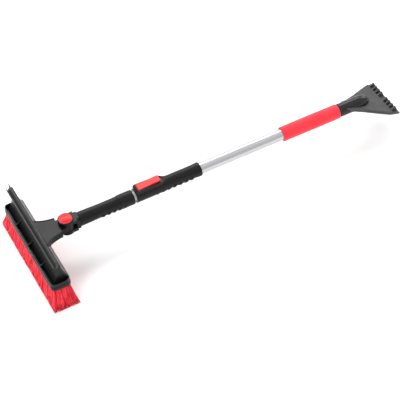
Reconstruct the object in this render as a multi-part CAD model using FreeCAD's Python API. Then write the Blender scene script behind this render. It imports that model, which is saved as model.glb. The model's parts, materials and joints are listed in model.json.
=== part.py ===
import FreeCAD, Part
import math
import os

# Telescopic snow brush with ice scraper.
# Every function below works in the pivot frame: X runs along the pole from the head's swivel axis
# towards the scraper, Y runs along the brush head, Z points up, and z = 0 is the pole's axis.
# save() moves each piece to the row frame, whose origin is under the middle of the whole tool, at
# the bristle tips.  All sizes are in millimetres.

V = FreeCAD.Vector
EPS = 0.01

# ---- driving dimensions -------------------------------------------------------------------------
OUTER_R = 12.5            # outer tube, 25 mm
OUTER_WALL = 1.2
INNER_R = 10.5            # inner tube, 21 mm
INNER_WALL = 1.0
RUN_FIT = 0.05            # radial running fit
GAP = 0.3                 # free gap between pieces that move past each other

# stations along the pole
FORK_END = 26.0
LOWER_GRIP_END = 148.0
HOUSING_START = 152.0
HOUSING_END = 302.0
FOAM_START = 495.0
FOAM_END = 632.0
NECK_START = 634.5
OUTER_END = 664.0
INNER_START = 28.0
INNER_END = 600.0
EDGE_X = 754.0            # scraping edge

# swivel knuckle
EAR_R = 16.5
EAR_IN = 7.0              # inner faces of the two fork ears
EAR_OUT = 15.0            # outer faces
BARREL_R = 15.5
BUTTON_R = 13.6
BUTTON_TOP = 20.0
BUTTON_FLOOR = 11.0       # floor of the button's pocket in the upper ear
LOCK_PIN_Y = 9.5
LOCK_PIN_R = 1.7
BOLT_R = 4.0
BOLT_HEAD_R = 7.0
HEX_R = 3.2               # hexagon socket, centre to corner
BOLT_SEAT_Z, BOLT_TIP_Z = -12.0, 9.0
BUSH_R = 5.4
WASHER_R = 6.6
WASHER_T = 0.5

# brush head: a tray round the bristles, a hollow ridge, and the squeegee on top
RIM_X0, RIM_X1 = -90.0, -47.0
RIM_HALF = 128.0
RIM_BOTTOM, RIM_TOP = -27.0, -20.0
RIM_CORNER = 10.0
TRAY_TOP = -11.5
TRAY_INSET = 0.7
TRAY_WALL = 2.2
FLOOR_T = 2.4
RIDGE_HALF = 118.0
RIDGE_WALL = 2.6
RAIL_HALF = 122.5
RAIL_X0, RAIL_X1 = -76.4, -62.0
RAIL_Z0, RAIL_Z1 = 27.0, 34.5
CHANNEL_X0, CHANNEL_X1 = -74.6, -66.6
CHANNEL_Z = 29.2
RUBBER_X = -68.3
RUBBER_T = 3.2
RUBBER_TOP = 45.5
RUBBER_FOOT_X = -72.6
RIB_PITCH = 64.0
RIB_T = 2.0
BRISTLE_TIP = -74.0
TIP_X0, TIP_X1 = -98.0, -42.0
TIP_HALF = 141.5
BRISTLE_ROWS = 5
ROW_ROOT_T = 3.2
ROW_TIP_T = 4.4

# yoke between the ridge and the swivel: (x, half width) of its plan
YOKE_PLAN = ((-60.0, 38.5), (-56.0, 35.6), (-48.0, 30.4), (-38.0, 26.0), (-28.0, 23.4), (-17.2, 21.8))
YOKE_TOP, YOKE_BOTTOM = 8.0, -7.0
YOKE_SKIN = 3.0
YOKE_WALL = 2.4
YOKE_BEAD = 1.0

# lock lever and its brake shoe
LEVER_PIN_X, LEVER_PIN_Z = 163.6, 17.0
LEVER_PIN_R = 1.5
DRUM_R = 4.0
CAM_R = 3.5
CAM_OFFSET = 1.1
LEVER_END = 210.8
LEVER_HALF = 8.4
SHOE_HALF_X, SHOE_HALF_Y = 3.6, 4.0

# soft grip and mouldings
FOAM_R = 16.0
NECK_R = 14.6
RIB_HEIGHT = 2.3
LOWER_RIB_X, LOWER_RIB_PITCH, LOWER_RIBS = 77.0, 12.3, 5
HOUSING_RIB_X, HOUSING_RIB_PITCH, HOUSING_RIBS = 199.0, 13.2, 7

# screws and rivet
SCREW_R = 1.4
SCREW_HEAD_R = 2.6
SCREW_HEAD_H = 1.6
HOUSING_SCREW_X = (245.2, 290.0)
HOUSING_SCREW_Z = -15.2
GRIP_SCREW_X = 134.0
GRIP_SCREW_Z = -15.6
RIVET_X = 650.0
RIVET_R = 1.6
YOKE_SCREW_Y = (-22.0, 22.0)
YOKE_SCREW_Z = -1.5
YOKE_SCREW_HEAD_X = -56.0

# scraper blade
BLADE_X = 660.0           # where the blade's upper face is BLADE_Z high
BLADE_Z = 6.0
BLADE_SLOPE = 0.25
BLADE_T = 4.0
RIM_DEPTH = 9.0
RIM_WIDTH = 3.2
STEP_X = 738.0            # the upper face steps down here to the scraping bevel
EDGE_Z = -21.5
TOOTH_X, TOOTH_Z = 748.0, -8.0
TOOTH_Y = (10.0, 21.0, 32.0, 43.0)
TOOTH_T = 3.4

# row frame
ROW_X = -(TIP_X0 + EDGE_X) / 2
ROW_Z = -BRISTLE_TIP


# ---- helpers ------------------------------------------------------------------------------------
def save(name, shape):
    """Writes one piece in the row frame."""
    moved = shape.copy()
    moved.translate(V(ROW_X, 0, ROW_Z))
    if not moved.isValid():
        print("not valid:", name)
    moved.exportStep("parts/" + name + ".step")


def box(x0, x1, y0, y1, z0, z1):
    return Part.makeBox(x1 - x0, y1 - y0, z1 - z0, V(x0, y0, z0))


def cyl_x(radius, x0, x1, y=0.0, z=0.0):
    return Part.makeCylinder(radius, x1 - x0, V(x0, y, z), V(1, 0, 0))


def cyl_y(radius, y0, y1, x=0.0, z=0.0):
    return Part.makeCylinder(radius, y1 - y0, V(x, y0, z), V(0, 1, 0))


def cyl_z(radius, z0, z1, x=0.0, y=0.0):
    return Part.makeCylinder(radius, z1 - z0, V(x, y, z0), V(0, 0, 1))


def tube_x(outer, inner, x0, x1):
    return cyl_x(outer, x0, x1).cut(cyl_x(inner, x0 - 1, x1 + 1))


def prism_y(points, y0, y1):
    """A closed outline of (x, z) points, drawn out along Y."""
    wire = Part.makePolygon([V(x, y0, z) for x, z in points + points[:1]])
    return Part.Face(wire).extrude(V(0, y1 - y0, 0))


def outline(runs, place):
    """A closed wire from runs of points. A run of three or more points is a smooth curve."""
    edges = []
    for i, run in enumerate(runs):
        points = [place(*p) for p in run]
        if len(points) > 2:
            curve = Part.BSplineCurve()
            curve.interpolate(points)
            edges.append(curve.toShape())
        else:
            edges.append(Part.makeLine(points[0], points[1]))
        start = place(*runs[(i + 1) % len(runs)][0])
        if points[-1].distanceToPoint(start) > EPS:
            edges.append(Part.makeLine(points[-1], start))
    return Part.Wire(edges)


def curved_y(runs, y0, y1):
    """A closed outline of runs of (x, z) points, drawn out along Y."""
    return Part.Face(outline(runs, lambda x, z: V(x, y0, z))).extrude(V(0, y1 - y0, 0))


def curved_z(runs, z0, z1):
    """A closed outline of runs of (x, y) points, drawn out along Z."""
    return Part.Face(outline(runs, lambda x, y: V(x, y, z0))).extrude(V(0, 0, z1 - z0))


def both_sides(points, inset=0.0):
    """Runs for a plan that is the same on both sides of y = 0, from its (x, half width) points."""
    upper = [(x, y - inset) for x, y in points]
    return [upper, [(x, -y) for x, y in reversed(upper)]]


def prism_z(points, z0, z1):
    """A closed outline of (x, y) points, drawn out along Z."""
    wire = Part.makePolygon([V(x, y, z0) for x, y in points + points[:1]])
    return Part.Face(wire).extrude(V(0, 0, z1 - z0))


def turned_x(points):
    """A closed outline of (x, radius) points turned about the pole's axis."""
    wire = Part.makePolygon([V(x, 0, r) for x, r in points + points[:1]])
    return Part.Face(wire).revolve(V(0, 0, 0), V(1, 0, 0), 360)


def rounded_plate(x0, x1, half, radius, z0, z1):
    """A flat plate with upright rounded corners."""
    plate = box(x0, x1, -half, half, z0, z1)
    upright = [e for e in plate.Edges if abs(e.tangentAt(e.FirstParameter).z) > 0.99]
    return plate.makeFillet(radius, upright)


def mirrored(points):
    """The points of one side (x, y > 0), then the same points on the other side in reverse."""
    return points + [(x, -y) for x, y in reversed(points)]


def finger_rib(x, base, pitch):
    """One shallow rib across the underside of a grip."""
    half = pitch * 0.4
    foot = base - 0.6
    crest = base + RIB_HEIGHT - 0.6
    arc = Part.Arc(V(x - half, 0, foot), V(x, 0, crest), V(x + half, 0, foot)).toShape()
    back = Part.makePolygon([V(x + half, 0, foot), V(x + half, 0, base - 2), V(x - half, 0, base - 2),
                             V(x - half, 0, foot)])
    ring = Part.Face(Part.Wire([arc] + back.Edges)).revolve(V(0, 0, 0), V(1, 0, 0), 360)
    return ring.common(box(x - pitch, x + pitch, -30, 30, -30, -2))


def screw_up(x, head_z, tip_z):
    """A pan-head screw under the pole, whose head's outer face is at head_z and whose tip is at tip_z."""
    head = cyl_z(SCREW_HEAD_R, head_z, head_z + SCREW_HEAD_H, x)
    slot = box(x - SCREW_HEAD_R, x + SCREW_HEAD_R, -0.4, 0.4, head_z - 1, head_z + 0.6)
    return head.fuse(cyl_z(SCREW_R, head_z + SCREW_HEAD_H, tip_z, x)).removeSplitter().cut(slot)


def screw_up_hole(x, head_z):
    """The hole and the head's seat for screw_up."""
    return cyl_z(SCREW_R, -25, -9, x).fuse(cyl_z(SCREW_HEAD_R + 0.2, -25, head_z + SCREW_HEAD_H, x))


# ---- pole ---------------------------------------------------------------------------------------
def lock_window():
    """The opening over the inner tube that the brake shoe works through."""
    return box(LEVER_PIN_X - SHOE_HALF_X - GAP, LEVER_PIN_X + SHOE_HALF_X + GAP,
               -SHOE_HALF_Y - GAP, SHOE_HALF_Y + GAP, 5, 16)


def outer_tube():
    tube = tube_x(OUTER_R, OUTER_R - OUTER_WALL, HOUSING_START + 2, OUTER_END)
    tube = tube.cut(lock_window()).cut(cyl_y(RIVET_R, -20, 20, RIVET_X))
    for x in HOUSING_SCREW_X:
        tube = tube.cut(cyl_z(SCREW_R, -20, -9, x))
    return tube


def inner_tube():
    tube = tube_x(INNER_R, INNER_R - INNER_WALL, INNER_START, INNER_END)
    return tube.cut(cyl_z(SCREW_R, -20, -8, GRIP_SCREW_X))


def guide_bush():
    """Lines the mouth of the outer tube, with a flange against its end."""
    bore = INNER_R + RUN_FIT
    sleeve = tube_x(OUTER_R - OUTER_WALL, bore, HOUSING_START + 2, 180)
    flange = tube_x(OUTER_R, bore, HOUSING_START, HOUSING_START + 2)
    return sleeve.fuse(flange).removeSplitter().cut(lock_window())


def glide_ring():
    """Steadies the inner tube's far end inside the outer tube."""
    outer = OUTER_R - OUTER_WALL - RUN_FIT
    ring = tube_x(outer, INNER_R, INNER_END - 18, INNER_END)
    cap = cyl_x(outer, INNER_END, INNER_END + 3)
    spigot = cyl_x(INNER_R - INNER_WALL, INNER_END - 12, INNER_END)
    return ring.fuse(cap).fuse(spigot).removeSplitter()


def lower_grip():
    """Black grip moulded round the lower tube, with finger ribs and a collar that ends in a tongue."""
    grip = turned_x([(FORK_END, 14.4), (FORK_END + 1.5, 15.2), (50, 14.9), (80, 14.2), (104, 14.4), (118, 14.9),
                     (LOWER_GRIP_END - 2, 15.0), (LOWER_GRIP_END, 14.4), (LOWER_GRIP_END, INNER_R),
                     (FORK_END, INNER_R)])
    collar = turned_x([(112, 15.0), (113.5, 15.9), (LOWER_GRIP_END - 1.5, 15.9), (LOWER_GRIP_END, 15.0),
                       (LOWER_GRIP_END, 13.0), (112, 13.0)])
    side = [(131.0, 20.0), (124.0, 13.2), (118.5, 10.6), (113.5, 6.0)]
    nose = side + [(111.0, 0.0)] + [(x, -y) for x, y in reversed(side)]
    tongue = curved_z([nose, [(131.0, -20.0), (150.0, -20.0)], [(150.0, -20.0), (150.0, 20.0)]], -20, 20)
    grip = grip.fuse(collar.common(tongue))
    for i in range(LOWER_RIBS):
        grip = grip.fuse(finger_rib(LOWER_RIB_X + LOWER_RIB_PITCH * i, 14.25 + 0.09 * i, LOWER_RIB_PITCH))
    return grip.removeSplitter().cut(screw_up_hole(GRIP_SCREW_X, GRIP_SCREW_Z))


def lower_grip_screw():
    return screw_up(GRIP_SCREW_X, GRIP_SCREW_Z, -9.6)


# ---- lock housing -------------------------------------------------------------------------------
def lock_housing():
    """Black housing over the outer tube's mouth, with the lever's saddle on top."""
    body = turned_x([(HOUSING_START, 14.8), (HOUSING_START + 1.2, 15.6), (218, 15.4), (234, 14.5), (285, 14.4),
                     (297, 15.2), (HOUSING_END - 1, 15.2), (HOUSING_END, 14.2), (HOUSING_END, OUTER_R),
                     (HOUSING_START + 0.4, OUTER_R)])
    saddle = [(HOUSING_START + 1.5, 0), (HOUSING_START + 2.5, 17.6), (158, 20.0), (168, 20.2),
              (205, 19.0), (214, 17.6), (226, 13.5), (226, 0)]
    plan = mirrored([(HOUSING_START + 1.5, 10.2), (HOUSING_START + 4, 11.4), (212, 11.0), (226, 6.0)])
    raised = prism_y(saddle, -12, 12).common(prism_z(plan, -1, 25))
    raised = raised.cut(cyl_x(OUTER_R, HOUSING_START - 1, HOUSING_END + 1))
    body = body.fuse(raised)
    for i in range(HOUSING_RIBS):
        body = body.fuse(finger_rib(HOUSING_RIB_X + HOUSING_RIB_PITCH * i, 14.5, HOUSING_RIB_PITCH))
    body = body.removeSplitter()
    pocket_half = LEVER_HALF + GAP + 0.1
    body = body.cut(box(LEVER_PIN_X - 4.7, LEVER_END + 2.2, -pocket_half, pocket_half, 15.4, 30))
    body = body.cut(box(LEVER_PIN_X - 4.7, LEVER_PIN_X + 5.2, -pocket_half, pocket_half, 12.75, 30))
    body = body.cut(cyl_y(9.0, -pocket_half, pocket_half, LEVER_END + 3, 23.0))
    body = body.cut(lock_window())
    body = body.cut(cyl_y(LEVER_PIN_R, -20, 20, LEVER_PIN_X, LEVER_PIN_Z))
    for x in HOUSING_SCREW_X:
        body = body.cut(screw_up_hole(x, HOUSING_SCREW_Z))
    return body


def housing_screws():
    return Part.makeCompound([screw_up(x, HOUSING_SCREW_Z, -11.4) for x in HOUSING_SCREW_X])


def lever_pin():
    return cyl_y(LEVER_PIN_R, -11.0, 11.0, LEVER_PIN_X, LEVER_PIN_Z)


def lock_lever():
    """Red flip lever: a drum on the pin, an eccentric cam in its middle and a raised finger tail."""
    top = [(LEVER_PIN_X, LEVER_PIN_Z + 4.2), (180, 22.0), (196, 23.2), (LEVER_END - 1.5, 24.2),
           (LEVER_END, 23.6), (LEVER_END, 21.6), (200, 19.0), (190, 17.4), (175, 16.4),
           (LEVER_PIN_X + 2, 16.2), (LEVER_PIN_X, 15.0)]
    arm = prism_y(top, -LEVER_HALF, LEVER_HALF)
    plan = mirrored([(LEVER_PIN_X - 5, LEVER_HALF), (LEVER_PIN_X + 12, LEVER_HALF), (LEVER_END - 4, 7.8),
                     (LEVER_END + 1, 6.6)])
    arm = arm.common(prism_z(plan, 10, 30))
    drum = cyl_y(DRUM_R, -LEVER_HALF, LEVER_HALF, LEVER_PIN_X, LEVER_PIN_Z)
    crown = cyl_y(4.2, -LEVER_HALF, LEVER_HALF, LEVER_PIN_X, LEVER_PIN_Z)
    crown = crown.common(box(LEVER_PIN_X - 6, LEVER_PIN_X + 6, -10, 10, LEVER_PIN_Z, 30))
    cam = cyl_y(CAM_R, -SHOE_HALF_Y + 0.5, SHOE_HALF_Y - 0.5, LEVER_PIN_X, LEVER_PIN_Z - CAM_OFFSET)
    lever = arm.fuse(drum).fuse(crown).fuse(cam).removeSplitter()
    return lever.cut(cyl_y(LEVER_PIN_R + RUN_FIT, -20, 20, LEVER_PIN_X, LEVER_PIN_Z))


def lock_shoe():
    """Brake shoe between the cam and the inner tube."""
    top = LEVER_PIN_Z - CAM_OFFSET - CAM_R - 0.1
    block = box(LEVER_PIN_X - SHOE_HALF_X, LEVER_PIN_X + SHOE_HALF_X, -SHOE_HALF_Y, SHOE_HALF_Y, 8, top)
    return block.cut(cyl_x(INNER_R + RUN_FIT, 150, 180))


# ---- handle end ---------------------------------------------------------------------------------
def foam_grip():
    edge = 0.8
    return turned_x([(FOAM_START, OUTER_R), (FOAM_START, FOAM_R - edge), (FOAM_START + edge, FOAM_R),
                     (FOAM_END - edge, FOAM_R), (FOAM_END, FOAM_R - edge), (FOAM_END, OUTER_R)])


def grip_ring():
    """Thin plastic ring between the foam and the scraper's neck."""
    return tube_x(NECK_R - 0.6, OUTER_R, FOAM_END, NECK_START)


def blade_profile(depth):
    """Side outline of the blade, from the neck to the scraping edge, depth thick behind the step."""
    def upper(x):
        return BLADE_Z - BLADE_SLOPE * (x - BLADE_X)
    start = BLADE_X - 12
    return [(start, upper(start)), (STEP_X, upper(STEP_X)), (STEP_X + 2, upper(STEP_X) - 3.0),
            (EDGE_X, EDGE_Z), (EDGE_X - 1.0, EDGE_Z - 0.9), (STEP_X - 4, upper(STEP_X) - depth),
            (start, upper(start) - depth)]


def blade_plan(inset=0.0):
    """Smooth flare of the blade, from the neck to the edge."""
    half = [(BLADE_X - 12, 13.4), (660, 15.8), (670, 19.2), (682, 24.2), (696, 31.0), (712, 39.0), (728, 46.4),
            (742, 51.8), (EDGE_X + 1, 55.6)]
    return both_sides(half, inset)


def scraper_neck():
    """Socket over the tube that narrows to a rounded nose on the blade."""
    flat = [[(NECK_START, 0), (NECK_START, NECK_R - 0.6)],
            [(NECK_START, NECK_R - 0.6), (NECK_START + 0.6, NECK_R)],
            [(NECK_START + 0.6, NECK_R), (683, NECK_R)],
            [(683, NECK_R), (691, 13.7), (699, 11.2), (705, 7.4), (709, 0)]]
    face = Part.Face(outline(flat, lambda x, r: V(x, 0, r)))
    return face.revolve(V(0, 0, 0), V(1, 0, 0), 360)


def scraper():
    """Scraper moulding: neck socket over the tube, flared blade with side rims, and upright ice teeth."""
    plate = prism_y(blade_profile(BLADE_T), -70, 70).common(curved_z(blade_plan(), -60, 40))
    deep = prism_y(blade_profile(RIM_DEPTH), -70, 70)
    band = curved_z(blade_plan(), -60, 40).cut(curved_z(blade_plan(RIM_WIDTH), -61, 41))
    rims = deep.common(band)
    groove = prism_y(blade_profile(5.4), -70, 70).cut(prism_y(blade_profile(3.8), -71, 71))
    groove = groove.common(curved_z(blade_plan(-5), -60, 40).cut(curved_z(blade_plan(0.7), -61, 41)))
    groove = groove.cut(box(600, 690, -80, 80, -60, 60)).cut(box(STEP_X - 4, 800, -80, 80, -60, 60))
    blade = plate.fuse(rims).cut(groove).fuse(scraper_neck())
    ridge_z = BLADE_Z - BLADE_SLOPE * (STEP_X - BLADE_X)
    tooth = [(STEP_X - 1, ridge_z - 3), (STEP_X - 1, ridge_z + 0.2), (TOOTH_X - 0.8, TOOTH_Z),
             (TOOTH_X + 0.6, TOOTH_Z - 0.4), (EDGE_X - 1.2, EDGE_Z + 1.0), (EDGE_X - 1.4, EDGE_Z - 0.2)]
    for y in TOOTH_Y:
        for side in (-1, 1):
            blade = blade.fuse(prism_y(tooth, side * y - TOOTH_T / 2, side * y + TOOTH_T / 2))
    blade = blade.removeSplitter()
    return blade.cut(cyl_x(OUTER_R, NECK_START - 1, OUTER_END)).cut(scraper_rivet())


def scraper_rivet():
    """Cross pin through the neck and the tube, flush with the neck."""
    return cyl_y(RIVET_R, -NECK_R, NECK_R, RIVET_X).common(cyl_x(NECK_R, RIVET_X - 5, RIVET_X + 5))


# ---- swivel knuckle -----------------------------------------------------------------------------
def pivot_fork():
    """Fork on the lower tube: two round ears, a web behind the barrel and a spigot in the tube."""
    ears = []
    for low, high in ((EAR_IN, EAR_OUT), (-EAR_OUT, -EAR_IN)):
        ears.append(cyl_z(EAR_R, low, high).fuse(box(0, 20, -14, 14, low, high)))
    web = box(18.5, FORK_END, -14.0, 14.0, -15.0, 15.0).common(cyl_x(17.5, 17, 27))
    fork = ears[0].fuse(ears[1]).fuse(web).removeSplitter()
    fork = fork.fuse(cyl_x(INNER_R - INNER_WALL, FORK_END - 1, 62)).removeSplitter()
    fork = fork.cut(cyl_z(BUTTON_R + GAP, BUTTON_FLOOR, 30))
    fork = fork.cut(cyl_z(BOLT_R, -20, BOLT_TIP_Z))
    fork = fork.cut(cyl_z(BOLT_HEAD_R + 0.2, -20, BOLT_SEAT_Z))
    for side in (-1, 1):
        fork = fork.cut(cyl_z(LOCK_PIN_R + GAP, 0, 30, 0, side * LOCK_PIN_Y))
    return fork


def button_collar():
    """Round collar that guards the button."""
    ring = cyl_z(EAR_R - 0.3, EAR_OUT, EAR_OUT + 2.4).cut(cyl_z(BUTTON_R + GAP, EAR_OUT - 1, 30))
    rim = [e for e in ring.Edges if abs(e.BoundBox.ZMin - EAR_OUT - 2.4) < EPS and e.BoundBox.ZLength < EPS]
    rim = [e for e in rim if e.Curve.TypeId == "Part::GeomCircle" and e.Curve.Radius > 15]
    return ring.makeFillet(0.9, rim)


def pivot_bolt():
    """Bolt from below through the lower ear and the barrel into the upper ear."""
    turns = [math.radians(a) for a in range(0, 360, 60)]
    hexagon = [(HEX_R * math.cos(a), HEX_R * math.sin(a)) for a in turns]
    socket = prism_z(hexagon, BOLT_SEAT_Z - 3.6, BOLT_SEAT_Z - 1)
    head = cyl_z(BOLT_HEAD_R, BOLT_SEAT_Z - 2.6, BOLT_SEAT_Z).cut(socket)
    return head.fuse(cyl_z(BOLT_R, BOLT_SEAT_Z, BOLT_TIP_Z)).removeSplitter()


def pivot_washers():
    """Thin slip washers above and below the barrel."""
    washer = cyl_z(WASHER_R, 0, WASHER_T).cut(cyl_z(BOLT_R + 0.2, -1, 1))
    upper = washer.copy()
    upper.translate(V(0, 0, EAR_IN - WASHER_T))
    lower = washer.copy()
    lower.translate(V(0, 0, -EAR_IN))
    return Part.makeCompound([upper, lower])


def barrel_bush():
    """Plain bush between the bolt and the barrel."""
    high = EAR_IN - WASHER_T - RUN_FIT
    return cyl_z(BUSH_R, -high, high).cut(cyl_z(BOLT_R + RUN_FIT, -9, 9))


def button_cap():
    """Red domed button with a hollow underside and two lock pins' bosses."""
    skirt = cyl_z(BUTTON_R, EAR_OUT - 0.2, EAR_OUT + 2.8)
    dome_r = 38.0
    rise = BUTTON_TOP - (EAR_OUT + 2.8)
    dome = Part.makeSphere(dome_r, V(0, 0, BUTTON_TOP - dome_r))
    dome = dome.common(cyl_z(BUTTON_R - 0.5, BUTTON_TOP - rise - 0.01, BUTTON_TOP + 1))
    cap = skirt.fuse(dome).removeSplitter()
    cap = cap.cut(cyl_z(7.6, EAR_OUT - 1, EAR_OUT + 2.0))
    for side in (-1, 1):
        cap = cap.cut(cyl_z(LOCK_PIN_R, EAR_OUT - 1, EAR_OUT + 1.8, 0, side * LOCK_PIN_Y))
    return cap


def lock_pins():
    return Part.makeCompound([cyl_z(LOCK_PIN_R, 3.2, EAR_OUT + 1.8, 0, side * LOCK_PIN_Y) for side in (-1, 1)])


def button_spring():
    """Return spring, drawn as a plain sleeve that shortens as the button goes down."""
    return cyl_z(6.8, BUTTON_FLOOR, EAR_OUT + 2.0).cut(cyl_z(5.2, BUTTON_FLOOR - 1, EAR_OUT + 3))


# ---- brush head ---------------------------------------------------------------------------------
def ridge_section():
    """Outline of the head's ridge in (x, z): hollow curved front, sloped back."""
    front = [(RAIL_X0 + 4.2, RAIL_Z0), (-69.4, 19.4), (-70.6, 7.5), (-73.8, -3.5), (-78.4, -13.4),
             (-83.5, RIM_TOP)]
    back = [(-48.2, TRAY_TOP), (-52.4, -3.0), (-58.0, 12.0), (-61.4, RAIL_Z0)]
    return [front, [(-83.5, RIM_TOP), (-48.2, RIM_TOP)], [(-48.2, RIM_TOP), (-48.2, TRAY_TOP)], back]


def ridge_hollow():
    """Outline of the space inside the ridge."""
    floor_z = RIM_TOP - FLOOR_T
    front = [(-66.8, 18.0), (-68.0, 7.5), (-71.2, -4.4), (-75.4, -13.6), (-80.0, floor_z)]
    back = [(-51.4, floor_z), (-51.4, -12.0), (-55.2, -4.0), (-60.6, 11.0), (-64.2, 22.0)]
    return [front, [(-80.0, floor_z), (-51.4, floor_z)], back[:2], back[1:]]


def head_shell():
    """Head moulding: tray round the bristles, ridge with a sloped back, and ribs in its hollow front."""
    rim = rounded_plate(RIM_X0, RIM_X1, RIM_HALF, RIM_CORNER, RIM_BOTTOM, RIM_TOP)
    inset = TRAY_INSET + TRAY_WALL
    tray = rounded_plate(RIM_X0 + TRAY_INSET, RIM_X1 - TRAY_INSET, RIM_HALF - TRAY_INSET,
                         RIM_CORNER - TRAY_INSET, RIM_TOP - 1, TRAY_TOP)
    tray = tray.cut(rounded_plate(RIM_X0 + inset, RIM_X1 - inset, RIM_HALF - inset, RIM_CORNER - inset,
                                  RIM_TOP, TRAY_TOP + 1))
    well = rounded_plate(RIM_X0 + TRAY_WALL, RIM_X1 - TRAY_WALL, RIM_HALF - TRAY_WALL, RIM_CORNER - TRAY_WALL,
                         RIM_BOTTOM - 1, RIM_TOP - FLOOR_T)
    ridge = curved_y(ridge_section(), -RIDGE_HALF, RIDGE_HALF)
    rear = [e for e in ridge.Edges if abs(abs(e.CenterOfMass.y) - RIDGE_HALF) < EPS and e.CenterOfMass.x > -60
            and e.BoundBox.ZMax > RIM_TOP + 20]
    ridge = ridge.makeFillet(3.5, rear)
    shell = rim.cut(well).fuse(tray).fuse(ridge)
    gusset = [[(-66.0, 1.5), (-71.5, 1.0)], [(-71.5, 1.0), (-76.0, -6.2), (-82.0, -10.0), (-87.6, TRAY_TOP)],
              [(-87.6, TRAY_TOP), (-87.6, RIM_TOP - 1)], [(-87.6, RIM_TOP - 1), (-66.0, RIM_TOP - 1)]]
    for y in (-RIB_PITCH, 0.0, RIB_PITCH):
        shell = shell.fuse(curved_y(gusset, y - RIB_T / 2, y + RIB_T / 2))
    shell = shell.removeSplitter()
    inner = RIDGE_HALF - RIDGE_WALL
    shell = shell.cut(curved_y(ridge_hollow(), -inner, inner))
    for y in YOKE_SCREW_Y:
        shell = shell.cut(cyl_x(SCREW_R, -66.0, -46.0, y, YOKE_SCREW_Z))
        shell = shell.cut(cyl_x(SCREW_HEAD_R + 0.2, -69.0, YOKE_SCREW_HEAD_X, y, YOKE_SCREW_Z))
    return shell


def yoke_screws():
    """Screws from inside the ridge into the yoke's bosses."""
    screws = []
    for y in YOKE_SCREW_Y:
        head = cyl_x(SCREW_HEAD_R, YOKE_SCREW_HEAD_X - SCREW_HEAD_H, YOKE_SCREW_HEAD_X, y, YOKE_SCREW_Z)
        screws.append(head.fuse(cyl_x(SCREW_R, YOKE_SCREW_HEAD_X, -47.0, y, YOKE_SCREW_Z)).removeSplitter())
    return Part.makeCompound(screws)


def squeegee_rail():
    """Channel along the top of the ridge that holds the rubber."""
    rail = curved_y([[(RAIL_X0 + 1.2, RAIL_Z0), (RAIL_X0, RAIL_Z0 + 1.6)],
                     [(RAIL_X0, RAIL_Z0 + 1.6), (RAIL_X0, RAIL_Z1)],
                     [(RAIL_X0, RAIL_Z1), (RUBBER_X + 4.0, RAIL_Z1)],
                     [(RUBBER_X + 4.0, RAIL_Z1), (RAIL_X1 - 0.6, RAIL_Z1 - 1.6), (RAIL_X1, RAIL_Z0 + 3.0)],
                     [(RAIL_X1, RAIL_Z0 + 3.0), (RAIL_X1, RAIL_Z0)]], -RAIL_HALF, RAIL_HALF)
    channel = box(CHANNEL_X0, CHANNEL_X1, -RAIL_HALF - 1, RAIL_HALF + 1, CHANNEL_Z, 60)
    return rail.cut(channel)


def squeegee_rubber():
    """Wiper rubber: a foot in the channel and a blade tapered to its lip."""
    front, rear = RUBBER_X - RUBBER_T / 2, RUBBER_X + RUBBER_T / 2
    foot = CHANNEL_Z + 2.4
    section = [(RUBBER_FOOT_X, CHANNEL_Z), (RUBBER_FOOT_X, foot), (front - 0.9, foot + 0.6),
               (front - 0.9, foot + 2.4), (front, foot + 3.0), (RUBBER_X - 0.8, RUBBER_TOP),
               (RUBBER_X + 0.8, RUBBER_TOP), (rear, foot + 3.0), (rear, CHANNEL_Z)]
    return prism_y(section, -RAIL_HALF - 1.2, RAIL_HALF + 1.2)


def tuft_block():
    """Plate inside the rim that the bristles are set in."""
    return rounded_plate(RIM_X0 + TRAY_WALL, RIM_X1 - TRAY_WALL, RIM_HALF - TRAY_WALL, RIM_CORNER - TRAY_WALL,
                         RIM_BOTTOM, RIM_TOP - FLOOR_T)


def bristle_row(root_x, tip_x, root_half, tip_half):
    """One row of tufts as a thin soft strip that widens and leans outwards to its tips."""
    def corners(x, thick, half, z):
        return [V(x - thick / 2, -half, z), V(x + thick / 2, -half, z), V(x + thick / 2, half, z),
                V(x - thick / 2, half, z)]
    upper = corners(root_x, ROW_ROOT_T, root_half, RIM_BOTTOM)
    lower = corners(tip_x, ROW_TIP_T, tip_half, BRISTLE_TIP)
    faces = [Part.Face(Part.makePolygon(ring + ring[:1])) for ring in (upper, lower)]
    for i in range(4):
        j = (i + 1) % 4
        faces.append(Part.Face(Part.makePolygon([upper[i], upper[j], lower[j], lower[i], upper[i]])))
    return Part.makeSolid(Part.makeShell(faces))


def bristles():
    """The bristle rows, fanned from the tuft block to the tips."""
    rows = []
    for i in range(BRISTLE_ROWS):
        share = i / (BRISTLE_ROWS - 1)
        root = RIM_X0 + 7.0 + share * (RIM_X1 - RIM_X0 - 14.0)
        tip = TIP_X0 + ROW_TIP_T / 2 + share * (TIP_X1 - TIP_X0 - ROW_TIP_T)
        rows.append(bristle_row(root, tip, RIM_HALF - 5.0, TIP_HALF))
    return Part.makeCompound(rows)


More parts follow.
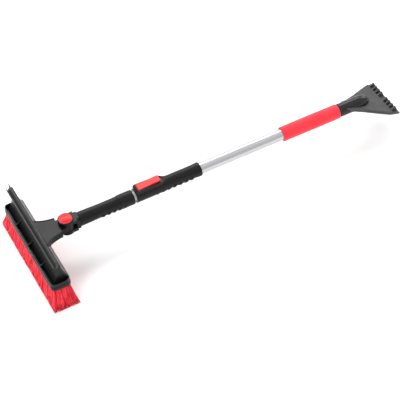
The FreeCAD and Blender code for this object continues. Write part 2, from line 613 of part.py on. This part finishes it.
def head_yoke():
    """Flared arm from the ridge to the pivot barrel: a top skin with side walls, beads and inner ribs."""
    arm = curved_z(both_sides(YOKE_PLAN), YOKE_BOTTOM, YOKE_TOP + YOKE_BEAD)
    trough = curved_z(both_sides(YOKE_PLAN, YOKE_WALL - 0.8), YOKE_TOP, YOKE_TOP + YOKE_BEAD + 1)
    hollow = curved_z(both_sides(YOKE_PLAN, YOKE_WALL), YOKE_BOTTOM - 1, YOKE_TOP - YOKE_SKIN)
    hollow = hollow.cut(box(-19.8, 0, -50, 50, -50, 50))
    arm = arm.cut(trough).cut(hollow)
    neck = box(-20.0, 0, -BARREL_R, BARREL_R, -EAR_IN + GAP, EAR_IN - GAP)
    barrel = cyl_z(BARREL_R, -EAR_IN + GAP, EAR_IN - GAP)
    yoke = arm.fuse(neck).fuse(barrel)
    for y in (-11.0, 11.0):
        yoke = yoke.fuse(box(-54.0, -18.0, y - 1.2, y + 1.2, YOKE_BOTTOM + 0.5, YOKE_TOP - YOKE_SKIN + 1))
    for y in YOKE_SCREW_Y:
        yoke = yoke.fuse(cyl_x(3.6, -56.0, -43.0, y, YOKE_SCREW_Z))
    yoke = yoke.removeSplitter()
    ridge_end = curved_y(ridge_section(), -70, 70)
    yoke = yoke.cut(ridge_end).cut(box(-100, -60.5, -70, 70, -50, 50))
    for y in YOKE_SCREW_Y:
        yoke = yoke.cut(cyl_x(SCREW_R, -70.0, -46.0, y, YOKE_SCREW_Z))
    yoke = yoke.cut(cyl_z(BUSH_R, -20, 20))
    washer_seat = EAR_IN - WASHER_T - RUN_FIT
    recess_r = WASHER_R + 0.2
    yoke = yoke.cut(cyl_z(recess_r, washer_seat, 20)).cut(cyl_z(recess_r, -20, -washer_seat))
    groove = cyl_z(LOCK_PIN_Y + LOCK_PIN_R + 0.5, -0.6, 20).cut(cyl_z(LOCK_PIN_Y - LOCK_PIN_R - 0.5, -2, 21))
    yoke = yoke.cut(groove)
    solids = sorted(yoke.Solids, key=lambda solid: solid.Volume)
    return solids[-1]


def main():
    os.makedirs("parts", exist_ok=True)
    pieces = (
        outer_tube, inner_tube, guide_bush, glide_ring, lower_grip, lower_grip_screw,
        lock_housing, housing_screws, lever_pin, lock_lever, lock_shoe,
        foam_grip, grip_ring, scraper, scraper_rivet,
        pivot_fork, button_collar, pivot_bolt, pivot_washers, barrel_bush, button_cap, lock_pins, button_spring,
        head_shell, squeegee_rail, squeegee_rubber, tuft_block, bristles, head_yoke, yoke_screws,
    )
    for piece in pieces:
        save(piece.__name__, piece())


main()
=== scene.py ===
import json
import math
import random

import bpy
import bmesh
from mathutils import Euler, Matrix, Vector, noise


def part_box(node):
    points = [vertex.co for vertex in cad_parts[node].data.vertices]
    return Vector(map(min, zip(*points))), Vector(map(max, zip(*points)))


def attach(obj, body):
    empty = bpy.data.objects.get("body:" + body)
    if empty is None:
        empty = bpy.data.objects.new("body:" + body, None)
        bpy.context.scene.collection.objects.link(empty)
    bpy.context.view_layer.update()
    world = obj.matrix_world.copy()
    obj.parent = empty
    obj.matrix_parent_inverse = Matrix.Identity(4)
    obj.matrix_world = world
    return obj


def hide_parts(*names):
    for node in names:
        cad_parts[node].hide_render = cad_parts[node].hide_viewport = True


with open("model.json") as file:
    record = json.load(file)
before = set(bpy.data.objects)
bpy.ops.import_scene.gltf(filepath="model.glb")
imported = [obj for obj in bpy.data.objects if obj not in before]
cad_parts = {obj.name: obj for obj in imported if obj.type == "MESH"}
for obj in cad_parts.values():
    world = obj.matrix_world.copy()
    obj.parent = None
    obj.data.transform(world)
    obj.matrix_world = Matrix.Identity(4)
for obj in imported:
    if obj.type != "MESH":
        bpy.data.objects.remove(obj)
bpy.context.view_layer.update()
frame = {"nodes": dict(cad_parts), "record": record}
nodes = frame["nodes"]

# The pivot frame: millimetres from the middle of the head's swivel, X towards the scraper.
low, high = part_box("barrel_bush")
PIVOT = (low + high) / 2


def pt(x, y, z):
    """A point of the pivot frame, in the row frame's metres."""
    return Vector((PIVOT.x + x / 1000, PIVOT.y + y / 1000, PIVOT.z + z / 1000))


# ---- node helpers -------------------------------------------------------------------------------
class Tree:
    """A material's node tree with short calls."""

    def __init__(self, name):
        self.mat = bpy.data.materials.new(name)
        self.mat.use_nodes = True
        self.nodes = self.mat.node_tree.nodes
        self.links = self.mat.node_tree.links
        self.shader = self.nodes["Principled BSDF"]
        self.coords = self.nodes.new("ShaderNodeTexCoord").outputs["Object"]

    def set(self, **values):
        for key, value in values.items():
            self.shader.inputs[key.replace("_", " ")].default_value = value

    def link(self, output, socket):
        self.links.new(output, self.shader.inputs[socket])

    def scaled(self, x, y, z):
        node = self.nodes.new("ShaderNodeMapping")
        node.inputs["Scale"].default_value = (x, y, z)
        self.links.new(self.coords, node.inputs["Vector"])
        return node.outputs["Vector"]

    def noise(self, scale, detail=3.0, rough=0.55, vector=None, warp=0.0):
        node = self.nodes.new("ShaderNodeTexNoise")
        node.inputs["Scale"].default_value = scale
        node.inputs["Detail"].default_value = detail
        node.inputs["Roughness"].default_value = rough
        node.inputs["Distortion"].default_value = warp
        self.links.new(vector or self.coords, node.inputs["Vector"])
        return node.outputs["Fac"]

    def voronoi(self, scale):
        node = self.nodes.new("ShaderNodeTexVoronoi")
        node.inputs["Scale"].default_value = scale
        self.links.new(self.coords, node.inputs["Vector"])
        return node.outputs["Distance"]

    def ramp(self, fac, stops):
        node = self.nodes.new("ShaderNodeValToRGB")
        ramp = node.color_ramp
        while len(ramp.elements) < len(stops):
            ramp.elements.new(0.5)
        for element, (place, value) in zip(ramp.elements, stops):
            element.position = place
            element.color = (*value, 1) if isinstance(value, tuple) else (value, value, value, 1)
        self.links.new(fac, node.inputs["Fac"])
        return node.outputs["Color"]

    def mottle(self, socket, scale, detail, *stops):
        """Varies one of the shader's sockets by noise, between (place, value) stops."""
        self.link(self.ramp(self.noise(scale, detail), stops), socket)

    def mix(self, fac, a, b):
        node = self.nodes.new("ShaderNodeMix")
        node.data_type = "RGBA"
        for socket, value in ((node.inputs[0], fac), (node.inputs[6], a), (node.inputs[7], b)):
            if isinstance(value, bpy.types.NodeSocket):
                self.links.new(value, socket)
            elif isinstance(value, tuple):
                socket.default_value = (*value, 1)
            else:
                socket.default_value = value
        return node.outputs[2]

    def math(self, operation, a, b):
        node = self.nodes.new("ShaderNodeMath")
        node.operation = operation
        for socket, value in zip(node.inputs, (a, b)):
            if isinstance(value, bpy.types.NodeSocket):
                self.links.new(value, socket)
            else:
                socket.default_value = value
        return node.outputs[0]

    def bump(self, height, strength, distance, below=None):
        node = self.nodes.new("ShaderNodeBump")
        node.inputs["Strength"].default_value = strength
        node.inputs["Distance"].default_value = distance
        self.links.new(height, node.inputs["Height"])
        if below is not None:
            self.links.new(below, node.inputs["Normal"])
        return node.outputs["Normal"]


# ---- materials ----------------------------------------------------------------------------------
# Bump distances are in metres. The moulded plastics share one fine spark-eroded grain.
GRAIN_SCALE, GRAIN_DEPTH = 2600.0, 0.0001
METAL_DEPTH = 0.00005


def plastic(name, dark, light, rough_low, rough_high, grain=0.12, specular=0.2):
    """Moulded plastic: slight colour drift, uneven gloss, fine grain and faint scuffs."""
    t = Tree(name)
    t.set(Specular_IOR_Level=specular)
    t.mottle("Base Color", 28, 4, (0.3, dark), (0.72, light))
    scuffs = t.noise(9, 8, 0.7, t.scaled(1.0, 7.0, 7.0), 0.6)
    gloss = t.mix(0.5, t.ramp(t.noise(140, 5), [(0.25, rough_low), (0.8, rough_high)]),
                  t.ramp(scuffs, [(0.42, rough_low), (0.75, rough_high)]))
    t.link(gloss, "Roughness")
    wave = t.bump(t.noise(34, 2), 0.10, 0.0006)
    t.link(t.bump(t.noise(GRAIN_SCALE, 2), grain, GRAIN_DEPTH, wave), "Normal")
    return t.mat


def aluminium():
    """Drawn and satin anodised tube, with fine lines along its length."""
    t = Tree("anodised_aluminium")
    t.set(Metallic=1.0, Anisotropic=0.2)
    dull, bright = (0.50, 0.503, 0.51), (0.60, 0.603, 0.61)
    lines = t.noise(1.0, 6, 0.65, t.scaled(14.0, 2600.0, 2600.0))
    t.link(t.ramp(lines, [(0.3, dull), (0.7, bright)]), "Base Color")
    t.mottle("Roughness", 45, 6, (0.25, 0.24), (0.75, 0.34))
    t.link(t.bump(lines, 0.12, METAL_DEPTH), "Normal")
    return t.mat


def steel():
    """Bright zinc plating."""
    t = Tree("zinc_plated_steel")
    t.set(Metallic=1.0)
    t.mottle("Base Color", 420, 5, (0.3, (0.42, 0.43, 0.44)), (0.7, (0.62, 0.63, 0.65)))
    t.mottle("Roughness", 700, 4, (0.3, 0.22), (0.7, 0.42))
    t.link(t.bump(t.noise(2200, 3), 0.1, METAL_DEPTH), "Normal")
    return t.mat


def black_oxide():
    """Blackened steel."""
    t = Tree("black_oxide_steel")
    t.set(Metallic=1.0)
    t.mottle("Base Color", 420, 4, (0.3, (0.030, 0.030, 0.032)), (0.7, (0.060, 0.060, 0.063)))
    t.mottle("Roughness", 700, 4, (0.3, 0.45), (0.7, 0.6))
    return t.mat


def foam():
    """Closed-cell foam with small pores darkened by painted shade, and a soft sheen."""
    t = Tree("red_foam")
    t.set(Specular_IOR_Level=0.25, Sheen_Weight=0.25, Sheen_Roughness=0.5)
    base = t.ramp(t.noise(16, 4), [(0.3, (0.86, 0.026, 0.044)), (0.7, (0.98, 0.040, 0.062))])
    pores = t.ramp(t.voronoi(1500), [(0.12, 0.0), (0.34, 1.0)])
    # Painted shade: the pores take this darker red, standing in for the shade inside them.
    t.link(t.mix(pores, (0.62, 0.012, 0.022), base), "Base Color")
    t.mottle("Roughness", 300, 4, (0.3, 0.72), (0.7, 0.9))
    soft = t.bump(t.noise(110, 3), 0.25, 0.0006)
    t.link(t.bump(pores, 0.35, 0.00025, soft), "Normal")
    return t.mat


def bristle():
    """Translucent synthetic bristle, lighter and darker in streaks along its length, with painted
    shade darkening patches between the tufts.
    """
    t = Tree("red_bristle")
    t.set(Specular_IOR_Level=0.12, Subsurface_Weight=0.2, Subsurface_Scale=0.001)
    t.shader.inputs["Subsurface Radius"].default_value = (1.0, 0.15, 0.15)
    deep, full, pale = (0.56, 0.010, 0.022), (1.0, 0.045, 0.07), (1.0, 0.12, 0.15)
    # Painted shade: the bristles are darkened towards this red in patches, standing in for the
    # shade in the gaps between tufts.
    painted_tuft_gap_shade = (0.52, 0.005, 0.016)
    streaks = t.noise(1.0, 4, 0.7, t.scaled(420.0, 420.0, 12.0))
    tufts = t.noise(1.0, 2, 0.5, t.scaled(110.0, 110.0, 8.0))
    fine = t.ramp(streaks, [(0.32, deep), (0.47, full), (0.7, pale)])
    shade = t.ramp(tufts, [(0.36, 0.65), (0.55, 0.0)])
    t.link(t.mix(shade, fine, painted_tuft_gap_shade), "Base Color")
    t.link(t.ramp(streaks, [(0.3, 0.30), (0.7, 0.48)]), "Roughness")
    t.link(t.bump(streaks, 0.2, 0.0001), "Normal")
    return t.mat


def rubber():
    """Soft black rubber, faintly streaked."""
    t = Tree("black_rubber")
    t.set(Specular_IOR_Level=0.4)
    t.mottle("Base Color", 60, 5, (0.3, (0.018, 0.018, 0.019)), (0.75, (0.045, 0.045, 0.047)))
    t.mottle("Roughness", 260, 4, (0.3, 0.42), (0.75, 0.66))
    t.link(t.bump(t.noise(1.0, 3, 0.5, t.scaled(900.0, 30.0, 900.0)), 0.1, 0.0001), "Normal")
    return t.mat


# The scraper's neck, in metres: its radius, where its nose starts, and how long the nose is.
NECK_RADIUS = 0.01478
NECK_STRAIGHT_END = 0.683
NOSE_LENGTH = 0.0263


def scraper_skin():
    """Dark grey moulding whose round neck is black and polished, and whose blade is matt."""
    t = Tree("dark_grey_plastic")
    t.set(Specular_IOR_Level=0.35)
    split = t.nodes.new("ShaderNodeSeparateXYZ")
    t.links.new(t.coords, split.inputs[0])
    nose_start = PIVOT.x + NECK_STRAIGHT_END
    past = t.math("MAXIMUM", t.math("SUBTRACT", split.outputs["X"], nose_start), 0.0)
    inside = t.nodes.new("ShaderNodeCombineXYZ")
    t.links.new(t.math("DIVIDE", past, NOSE_LENGTH), inside.inputs["X"])
    for axis, middle in (("Y", PIVOT.y), ("Z", PIVOT.z)):
        offset = t.math("SUBTRACT", split.outputs[axis], middle)
        t.links.new(t.math("DIVIDE", offset, NECK_RADIUS), inside.inputs[axis])
    reach = t.nodes.new("ShaderNodeVectorMath")
    reach.operation = "LENGTH"
    t.links.new(inside.outputs["Vector"], reach.inputs[0])
    neck = t.math("LESS_THAN", reach.outputs["Value"], 1.0)
    dark, light = (0.040, 0.0405, 0.042), (0.058, 0.0585, 0.061)
    blade = t.ramp(t.noise(28, 4), [(0.3, dark), (0.72, light)])
    t.link(t.mix(neck, blade, (0.010, 0.0102, 0.011)), "Base Color")
    matt = t.ramp(t.noise(120, 5), [(0.25, 0.42), (0.8, 0.56)])
    t.link(t.mix(neck, matt, (0.2, 0.2, 0.2)), "Roughness")
    t.link(t.bump(t.noise(GRAIN_SCALE, 2), 0.12, GRAIN_DEPTH), "Normal")
    return t.mat


MATERIALS = {
    "aluminium": aluminium(),
    "steel": steel(),
    "black_oxide": black_oxide(),
    "nylon": plastic("natural_nylon", (0.70, 0.69, 0.64), (0.80, 0.79, 0.74), 0.35, 0.5),
    "black_plastic": plastic("black_polypropylene", (0.0045, 0.0046, 0.005),
                             (0.0085, 0.0087, 0.0092), 0.28, 0.42),
    "scraper_plastic": scraper_skin(),
    "red_plastic": plastic("red_gloss_plastic", (0.72, 0.014, 0.018), (0.82, 0.019, 0.025),
                           0.22, 0.34, grain=0.04, specular=0.25),
    "red_foam": foam(),
    "red_bristle": bristle(),
    "rubber": rubber(),
}
SLOTS = {row["node"]: row["material_slot"] for row in frame["record"]["subparts"]}


def dress(obj, material):
    obj.data.materials.clear()
    obj.data.materials.append(MATERIALS[material])


# ---- mesh helpers -------------------------------------------------------------------------------
# Degrees: flats that bend by less than the first are joined, and edges over the second are rounded.
FLAT_ANGLE, SHARP_ANGLE = 0.6, 28.0


def bevel(obj, width, angle):
    """Rounds the edges that bend by more than an angle in degrees; the width is in metres."""
    edges = obj.modifiers.new("edges", "BEVEL")
    edges.width = width
    edges.segments = 2
    edges.limit_method = "ANGLE"
    edges.angle_limit = math.radians(angle)


def round_edges(obj, width):
    """Cleans the triangulated flats, then rounds every sharp edge; the width is in millimetres."""
    flat = obj.modifiers.new("flats", "DECIMATE")
    flat.decimate_type = "DISSOLVE"
    flat.angle_limit = math.radians(FLAT_ANGLE)
    bevel(obj, width / 1000, SHARP_ANGLE)
    weighted = obj.modifiers.new("shading", "WEIGHTED_NORMAL")
    weighted.keep_sharp = True


def skin(rings, around, closed=False):
    """Faces that join rings of points. A closed skin meets itself, an open one is capped."""
    faces = []
    for k in range(rings if closed else rings - 1):
        n = (k + 1) % rings
        for i in range(around):
            j = (i + 1) % around
            faces.append((k * around + i, k * around + j, n * around + j, n * around + i))
    if not closed:
        faces.append(tuple(range(around)))
        faces.append(tuple((rings - 1) * around + i for i in range(around)))
    return faces


def piece(name, verts, faces, body, slot, replaced=()):
    """A new piece from its points and faces, riding on a CAD body."""
    mesh = bpy.data.meshes.new(name)
    mesh.from_pydata([tuple(v) for v in verts], [], faces)
    mesh.validate()
    obj = bpy.data.objects.new(name, mesh)
    bpy.context.scene.collection.objects.link(obj)
    bm = bmesh.new()
    bm.from_mesh(mesh)
    bmesh.ops.recalc_face_normals(bm, faces=bm.faces)
    bm.to_mesh(mesh)
    bm.free()
    for polygon in mesh.polygons:
        polygon.use_smooth = True
    dress(obj, slot)
    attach(obj, body)
    if replaced:
        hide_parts(*replaced)
    return obj


# ---- bristles -----------------------------------------------------------------------------------
# Places and sizes are in the pivot frame. An X pair is the first row and the last row; a Y is the
# end tuft. Every second row is staggered by half a tuft, and so has one tuft more.
BRISTLE_ROWS = 7
TUFTS = 31
FILAMENTS = 42
ROOT_X, ROOT_Y = (-84.0, -53.0), 120.5
TIP_X, TIP_Y = (-95.4, -44.6), 138.5
EDGE_X, EDGE_Y = (-97.8, -42.2), 141.2
ROOT_Z, TIP_Z = -24.5, -73.9
TUFT_ROOT = 1.9
SPREAD_X, SPREAD_Y = 4.5, 5.2
FILAMENT_STEPS = 4
FILAMENT_RADIUS = (0.5, 0.64)

# How unevenly the bristles stand: a whole tuft's lean and trim, one bristle's stray, and its bow.
LEAN_X, LEAN_Y, TRIM = 0.4, 0.7, 1.1
STRAY_X, STRAY_Y, STRAY_Z = 0.4, 0.5, 0.8
BOW, BOW_STRAY = 0.3, 0.6
FIRST_SEED = 40


def filament(verts, faces, root, tip, bow, radius):
    """A tapered three-sided bristle from root to tip, bowed sideways."""
    start = len(verts)
    turn = random.uniform(0, math.tau)
    for i in range(FILAMENT_STEPS + 1):
        t = i / FILAMENT_STEPS
        middle = root.lerp(tip, t) + bow * (t * t - t)
        r = radius * (1.0 - 0.4 * t * t)
        for k in range(3):
            a = turn + math.tau * k / 3
            verts.append(pt(middle.x + r * math.cos(a), middle.y + r * math.sin(a), middle.z))
    for i in range(FILAMENT_STEPS):
        for k in range(3):
            a, b = start + 3 * i + k, start + 3 * i + (k + 1) % 3
            faces.append((a, b, b + 3, a + 3))
    last = start + 3 * FILAMENT_STEPS
    faces.append((last, last + 1, last + 2))


def square(value):
    """Pushes a place in a round tuft outwards, so neighbouring tufts merge at their tips."""
    return math.copysign(abs(value) ** 0.75, value) * 1.1


def bristle_row(index):
    random.seed(FIRST_SEED + index)
    verts, faces = [], []
    share = index / (BRISTLE_ROWS - 1)
    places = [n / (TUFTS - 1) * 2 - 1 for n in range(TUFTS)]
    if index % 2:
        places = [-1.0] + [(a + b) / 2 for a, b in zip(places, places[1:])] + [1.0]
    for along in places:
        root = Vector((ROOT_X[0] + share * (ROOT_X[1] - ROOT_X[0]), along * ROOT_Y, ROOT_Z))
        tip = Vector((TIP_X[0] + share * (TIP_X[1] - TIP_X[0]), along * TIP_Y, TIP_Z))
        lean = Vector((random.gauss(0, LEAN_X), random.gauss(0, LEAN_Y), 0))
        lift = random.uniform(0.0, TRIM)
        for _ in range(FILAMENTS):
            a, r = random.uniform(0, math.tau), math.sqrt(random.random())
            spot = Vector((math.cos(a) * r, math.sin(a) * r, 0))
            start = root + TUFT_ROOT * spot
            end = tip + lean + Vector((SPREAD_X * square(spot.x), SPREAD_Y * square(spot.y), 0))
            end += Vector((random.gauss(0, STRAY_X), random.gauss(0, STRAY_Y),
                           lift + abs(random.gauss(0, STRAY_Z))))
            end.x = min(max(end.x, EDGE_X[0]), EDGE_X[1])
            end.y = min(max(end.y, -EDGE_Y), EDGE_Y)
            bow = Vector((end.x - start.x, end.y - start.y, 0)) * BOW
            bow += Vector((random.gauss(0, BOW_STRAY), random.gauss(0, BOW_STRAY), 0))
            filament(verts, faces, start, end, bow, random.uniform(*FILAMENT_RADIUS))
    replaced = ("bristles",) if index == 0 else ()
    piece(f"bristle_row_{index + 1}", verts, faces, "brush_head", "red_bristle", replaced)


for row in range(BRISTLE_ROWS):
    bristle_row(row)


# ---- foam grip ----------------------------------------------------------------------------------
# In millimetres. Only points further from the pole's middle than SKIN_START have an uneven skin,
# and only those past SWELL_START swell. A skin wave is its depth and how fast it varies in X, Y, Z.
FOAM_BORE, FOAM_CORNER, FOAM_AROUND = 12.55, 2.4, 112
CORNER_STEPS, RING_SPACING = 5, 1.6
SWELL, SWELL_START = 0.22, 14
SKIN_START, SKIN_SINK = 13, 0.10
SKIN_WAVES = ((0.16, (0.11, 0.16, 0.16)), (0.07, (0.55, 0.5, 0.5)))


def rounded_run(x0, x1, r_in, r_out, corner):
    """A tube wall's (x, radius) profile with rounded outer corners, from end to end."""
    profile = [(x0, r_in), (x0, (r_in + r_out) / 2)]
    for i in range(CORNER_STEPS + 1):
        a = math.pi - i * math.pi / 2 / CORNER_STEPS
        profile.append((x0 + corner + corner * math.cos(a), r_out - corner + corner * math.sin(a)))
    run = max(2, round((x1 - x0 - 2 * corner) / RING_SPACING))
    for i in range(1, run):
        profile.append((x0 + corner + i * (x1 - x0 - 2 * corner) / run, r_out))
    for i in range(CORNER_STEPS + 1):
        a = math.pi / 2 - i * math.pi / 2 / CORNER_STEPS
        profile.append((x1 - corner + corner * math.cos(a), r_out - corner + corner * math.sin(a)))
    profile += [(x1, (r_in + r_out) / 2), (x1, r_in)]
    return profile


def foam_sleeve():
    """Foam sleeve: softly rounded ends, a slight swell, and an uneven skin."""
    low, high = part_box("foam_grip")
    x0, x1 = (low.x - PIVOT.x) * 1000, (high.x - PIVOT.x) * 1000
    radius = (high.z - low.z) * 500
    profile = rounded_run(x0, x1, FOAM_BORE, radius, FOAM_CORNER)
    verts = []
    for k in range(FOAM_AROUND):
        a = math.tau * k / FOAM_AROUND
        for x, distance in profile:
            y, z = distance * math.cos(a), distance * math.sin(a)
            r = math.hypot(y, z)
            t = (x - x0) / (x1 - x0)
            swell = SWELL * math.sin(math.pi * t) if r > SWELL_START else 0.0
            if r > SKIN_START:
                for depth, (along, across, up) in SKIN_WAVES:
                    swell += depth * noise.noise(Vector((x * along, y * across, z * up)))
                swell -= SKIN_SINK
            s = (r + swell) / r
            verts.append(pt(x, y * s, z * s))
    faces = skin(FOAM_AROUND, len(profile), closed=True)
    sleeve = piece("foam_sleeve", verts, faces, "handle", "red_foam", ("foam_grip",))


foam_sleeve()


# ---- squeegee rubber ----------------------------------------------------------------------------
# In millimetres: the gap at each end, where the free lip starts, and how far the lip wanders.
WIPER_RINGS, WIPER_END_GAP = 120, 0.05
LIP_START = 35.0
SLOW_SWAY, QUICK_SWAY = 0.55, 0.12


def wiper():
    """Wiper blade with a beaded root and a lip that wanders a little."""
    low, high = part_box("squeegee_rubber")
    y0, y1 = (low.y - PIVOT.y) * 1000, (high.y - PIVOT.y) * 1000
    top = (high.z - PIVOT.z) * 1000
    section = [(-72.55, 29.3), (-72.55, 31.2), (-72.2, 31.55), (-71.2, 31.75), (-70.9, 32.2),
               (-70.9, 33.6), (-70.5, 34.2), (-69.95, 34.6), (-69.75, 36.5), (-69.45, 39.0),
               (-69.2, 42.0), (-69.05, top - 0.5), (-68.75, top - 0.1), (-68.0, top - 0.1),
               (-67.6, top - 0.5), (-67.35, 42.0), (-67.1, 39.0), (-66.85, 36.5),
               (-66.75, 34.2), (-66.75, 29.3)]
    verts = []
    for k in range(WIPER_RINGS + 1):
        y = y0 + WIPER_END_GAP + (y1 - y0 - 2 * WIPER_END_GAP) * k / WIPER_RINGS
        slow = SLOW_SWAY * noise.noise(Vector((0.0, y * 0.018, 3.0)))
        quick = QUICK_SWAY * math.sin(y * 0.09)
        for x, z in section:
            free = max(0.0, (z - LIP_START) / (top - LIP_START))
            verts.append(pt(x + free * free * (slow + quick), y, z))
    faces = skin(WIPER_RINGS + 1, len(section))
    blade = piece("wiper_blade", verts, faces, "brush_head", "rubber", ("squeegee_rubber",))
    bevel(blade, 0.00025, 50)


wiper()


# ---- return spring under the button -------------------------------------------------------------
# In the pivot frame: the coil's lowest and highest wire middles, its radius and the wire's radius.
SPRING_FLOOR, SPRING_TOP = 11.45, 13.5
COIL_RADIUS, WIRE_RADIUS, COIL_TURNS = 6.0, 0.4, 2.25
STEPS_PER_TURN, WIRE_SIDES = 36, 8


def return_spring():
    """Coil spring, drawn at its pressed length so that it stays clear of the pressed button."""
    count = round(COIL_TURNS * STEPS_PER_TURN)
    verts = []
    for i in range(count + 1):
        a = math.tau * i / STEPS_PER_TURN
        z = SPRING_FLOOR + (SPRING_TOP - SPRING_FLOOR) * i / count
        for k in range(WIRE_SIDES):
            b = math.tau * k / WIRE_SIDES
            r = COIL_RADIUS + WIRE_RADIUS * math.cos(b)
            verts.append(pt(r * math.cos(a), r * math.sin(a), z + WIRE_RADIUS * math.sin(b)))
    faces = skin(count + 1, WIRE_SIDES)
    piece("return_spring", verts, faces, "lower_pole", "steel", ("button_spring",))


return_spring()


# ---- CAD nodes that stay ------------------------------------------------------------------------
# Edge widths in millimetres: the usual one, and those of the softer mouldings.
EDGE = 0.3
SOFTER = {"head_shell": 0.8, "head_yoke": 0.6, "squeegee_rail": 0.45, "pivot_fork": 0.7,
          "lock_housing": 0.7, "button_cap": 0.8, "lock_lever": 0.7, "scraper": 0.5,
          "button_collar": 0.5}

for name, obj in nodes.items():
    dress(obj, "black_oxide" if name == "lever_pin" else SLOTS[name])
    if not obj.hide_render:
        round_edges(obj, SOFTER.get(name, EDGE))


# ---- stage --------------------------------------------------------------------------------------
FLOOR_SIZE, FLOOR_STEPS = 6.0, 24
FLOOR_COLOR = (0.96, 0.96, 0.96, 1)

# Area lights: place, the point each one faces, its size in metres, and its watts.
LIGHTS = {
    "overhead": ((0.15, 1.75, 1.95), (0, 0, 0.1), (3.0, 0.9), 42),
    "brush": ((-1.7, -0.8, 0.7), (-0.38, 0, 0.05), (1.2, 0.9), 18),
    "edge": ((1.8, 0.6, 1.2), (0, 0, 0.1), (0.8, 0.8), 8),
}

# The surroundings' darker side: its direction, and the dot products where it starts and is full.
DARK_SIDE = (0.0, -0.91, 0.41)
DARK_START, DARK_FULL = 0.80, 0.96
DARK_COLOR = (0.70, 0.70, 0.71, 1)

# The camera, in metres, degrees, and millimetres of lens and sensor.
CAMERA_PLACE = (-0.8723, -2.0173, 2.2711)
CAMERA_TURN = (43.517, 4.313, -27.123)
CAMERA_LENS, CAMERA_SENSOR = 135.0, 36.0
CAMERA_CLIP = (0.1, 20.0)


def floor():
    verts, faces = [], []
    for i in range(FLOOR_STEPS + 1):
        for j in range(FLOOR_STEPS + 1):
            x, y = (i / FLOOR_STEPS - 0.5) * FLOOR_SIZE, (j / FLOOR_STEPS - 0.5) * FLOOR_SIZE
            verts.append((x, y, 0.0))
    row_length = FLOOR_STEPS + 1
    for i in range(FLOOR_STEPS):
        for j in range(FLOOR_STEPS):
            a = i * row_length + j
            faces.append((a, a + row_length, a + row_length + 1, a + 1))
    mesh = bpy.data.meshes.new("floor")
    mesh.from_pydata(verts, [], faces)
    obj = bpy.data.objects.new("floor", mesh)
    bpy.context.scene.collection.objects.link(obj)
    t = Tree("pale_floor")
    t.set(Roughness=0.9, Specular_IOR_Level=0.1, Base_Color=FLOOR_COLOR)
    mesh.materials.append(t.mat)


def soft_light(name, place, target, size, power):
    data = bpy.data.lights.new(name, "AREA")
    data.shape = "RECTANGLE"
    data.size, data.size_y = size
    data.energy = power
    obj = bpy.data.objects.new(name, data)
    bpy.context.scene.collection.objects.link(obj)
    obj.location = place
    facing = Vector(target) - Vector(place)
    obj.rotation_euler = facing.to_track_quat("-Z", "Y").to_euler()


def studio():
    """White surroundings with one darker side behind the camera, as in a photographer's tent."""
    world = bpy.data.worlds.new("studio")
    world.use_nodes = True
    nodes, links = world.node_tree.nodes, world.node_tree.links
    coords = nodes.new("ShaderNodeTexCoord")
    side = nodes.new("ShaderNodeVectorMath")
    side.operation = "DOT_PRODUCT"
    side.inputs[1].default_value = DARK_SIDE
    ramp = nodes.new("ShaderNodeValToRGB")
    white, dark = ramp.color_ramp.elements
    white.position, white.color = DARK_START, (1, 1, 1, 1)
    dark.position, dark.color = DARK_FULL, DARK_COLOR
    links.new(coords.outputs["Generated"], side.inputs[0])
    links.new(side.outputs["Value"], ramp.inputs["Fac"])
    links.new(ramp.outputs["Color"], nodes["Background"].inputs["Color"])
    nodes["Background"].inputs["Strength"].default_value = 1.0
    return world


floor()
for name, (place, target, size, power) in LIGHTS.items():
    soft_light(name, place, target, size, power)

scene = bpy.context.scene
scene.world = studio()
scene.view_settings.view_transform = "Standard"

camera_data = bpy.data.cameras.new("camera")
camera = bpy.data.objects.new("camera", camera_data)
scene.collection.objects.link(camera)
scene.camera = camera
camera_data.sensor_width = CAMERA_SENSOR
camera_data.lens = CAMERA_LENS
camera_data.clip_start, camera_data.clip_end = CAMERA_CLIP
camera.location = CAMERA_PLACE
camera.rotation_euler = Euler([math.radians(a) for a in CAMERA_TURN], "XYZ")
